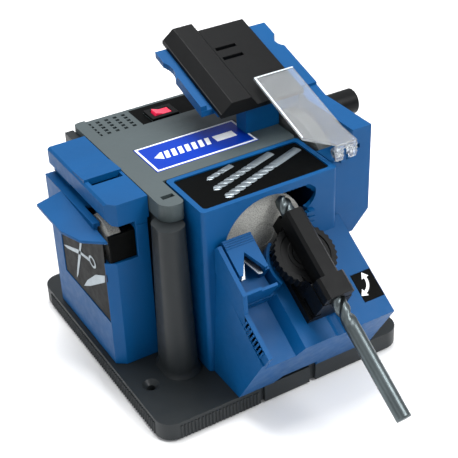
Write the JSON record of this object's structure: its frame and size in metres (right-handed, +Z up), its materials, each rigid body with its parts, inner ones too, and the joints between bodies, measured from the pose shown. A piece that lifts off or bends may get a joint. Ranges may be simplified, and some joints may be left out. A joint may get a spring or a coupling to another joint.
{
  "type": "multi-purpose drill bit and blade sharpener",
  "caption": "Bench sharpening station with a swinging drill holder on a sloping front, a knife and scissors unit on its left, a chisel table with clear guard on its right and a rocker switch.",
  "frame": {"origin": "bottom centre of the whole object's bounding box, on the plane of its feet", "axes": "+X to the right seen from the drill side, +Y to the back, +Z up"},
  "size_m": [0.222, 0.2954, 0.1976],
  "materials": {
    "dark_grey_plastic": "satin moulded",
    "steel": "turned",
    "rubber": "matte",
    "grey_plastic": "fine texture",
    "label": "gloss",
    "black_plastic": "satin moulded",
    "switch_red": "translucent",
    "copper": "turned",
    "abrasive": "gritty abrasive",
    "blue_plastic": "satin moulded",
    "drill_steel": "ground",
    "clear": "clear"
  },
  "bodies": {
    "rotor": {"motor_shaft": "steel", "rotor_core": "steel", "commutator": "copper", "cooling_fan": "black_plastic", "motor_bevel_gear": "steel", "drill_wheel_hub": "black_plastic", "drill_wheel": "abrasive"},
    "left_spindle": {"left_spindle": "steel", "left_bevel_gear": "steel", "knife_wheel": "abrasive", "knife_wheel_nut": "steel"},
    "right_spindle": {"right_spindle": "steel", "right_bevel_gear": "steel", "chisel_wheel": "abrasive", "chisel_wheel_nut": "steel"},
    "switch_rocker": {"switch_rocker": "switch_red"},
    "drill_holder": {"holder_body": "black_plastic", "clamp_bar": "black_plastic", "swing_pivot": "steel"},
    "clamp_wheel": {"clamp_wheel": "black_plastic"},
    "clamp_plunger": {"clamp_plunger": "steel"},
    "drill_bit": {"drill_bit": "drill_steel"},
    "gauge_slider": {"gauge_slider": "blue_plastic"},
    "guard": {"chisel_guard": "clear"},
    "chisel_carriage": {"chisel_carriage": "black_plastic"},
    "angle_knob": {"angle_knob": "black_plastic"},
    "station": {"base_plate": "dark_grey_plastic", "bottom_cover": "steel", "foot_fl": "rubber", "foot_fr": "rubber", "foot_rl": "rubber", "foot_rr": "rubber", "lower_housing": "dark_grey_plastic", "upper_housing": "grey_plastic", "label_plate": "label", "switch_frame": "black_plastic", "motor_can": "steel", "motor_end_bell": "black_plastic", "motor_stator": "dark_grey_plastic", "front_bearing": "steel", "rear_bearing": "steel", "motor_cradle": "black_plastic", "left_bearing": "steel", "right_bearing": "steel", "knife_unit_body": "blue_plastic", "knife_unit_cap": "blue_plastic", "knife_guide_insert": "black_plastic", "knife_panel": "black_plastic", "drill_unit_body": "blue_plastic", "gauge_station": "blue_plastic", "drill_unit_panel": "black_plastic", "arrow_panel": "black_plastic", "gauge_plate": "steel", "chisel_unit_body": "blue_plastic", "guard_pin": "steel"}
  },
  "joints": [
    {"name": "rotor_spin", "type": "hinge", "parent": "station", "child": "rotor", "pos_m": [0.00415, 0.05024, 0.1045], "axis": [0, 1, 0], "continuous": true},
    {"name": "left_spindle_spin", "type": "hinge", "parent": "station", "child": "left_spindle", "pos_m": [-0.04135, 0.04423, 0.1045], "axis": [1, 0, 0], "continuous": true},
    {"name": "right_spindle_spin", "type": "hinge", "parent": "station", "child": "right_spindle", "pos_m": [0.03865, 0.04423, 0.1045], "axis": [1, 0, 0], "continuous": true},
    {"name": "switch_rock", "type": "hinge", "parent": "station", "child": "switch_rocker", "pos_m": [-0.00035, 0.11774, 0.1411], "axis": [0, 1, 0], "range_deg": [-18, 0]},
    {"name": "drill_swing", "type": "hinge", "parent": "station", "child": "drill_holder", "pos_m": [0.01665, -0.02918, 0.08649], "axis": [0, -0.5446, 0.8387], "range_deg": [-20, 20]},
    {"name": "clamp_wheel_turn", "type": "hinge", "parent": "drill_holder", "child": "clamp_wheel", "pos_m": [0.01665, -0.02918, 0.08649], "axis": [0, -0.5446, 0.8387], "range_deg": [0, 540]},
    {"name": "clamp_plunger_slide", "type": "slide", "parent": "drill_holder", "child": "clamp_plunger", "axis": [0, -0.5446, 0.8387], "range_m": [-0.003, 0]},
    {"name": "drill_bit_slide", "type": "slide", "parent": "drill_holder", "child": "drill_bit", "axis": [0, -0.8387, -0.5446], "range_m": [0, 0.03]},
    {"name": "gauge_slide", "type": "slide", "parent": "station", "child": "gauge_slider", "axis": [0, -0.8387, -0.5446], "range_m": [0, 0.006]},
    {"name": "guard_lift", "type": "hinge", "parent": "station", "child": "guard", "pos_m": [0.05865, -0.00677, 0.1465], "axis": [1, 0, 0], "range_deg": [0, 60]},
    {"name": "carriage_slide", "type": "slide", "parent": "station", "child": "chisel_carriage", "axis": [1, 0, 0], "range_m": [-0.004, 0.005]},
    {"name": "angle_knob_turn", "type": "hinge", "parent": "station", "child": "angle_knob", "pos_m": [0.09865, 0.04124, 0.1505], "axis": [1, 0, 0], "range_deg": [-45, 45]}
  ],
  "couplings": [
    {"joint": "left_spindle_spin", "follows": "rotor_spin", "ratio": 1},
    {"joint": "right_spindle_spin", "follows": "rotor_spin", "ratio": -1},
    {"joint": "clamp_plunger_slide", "follows": "clamp_wheel_turn", "m_per_rad": -0.000318}
  ]
}
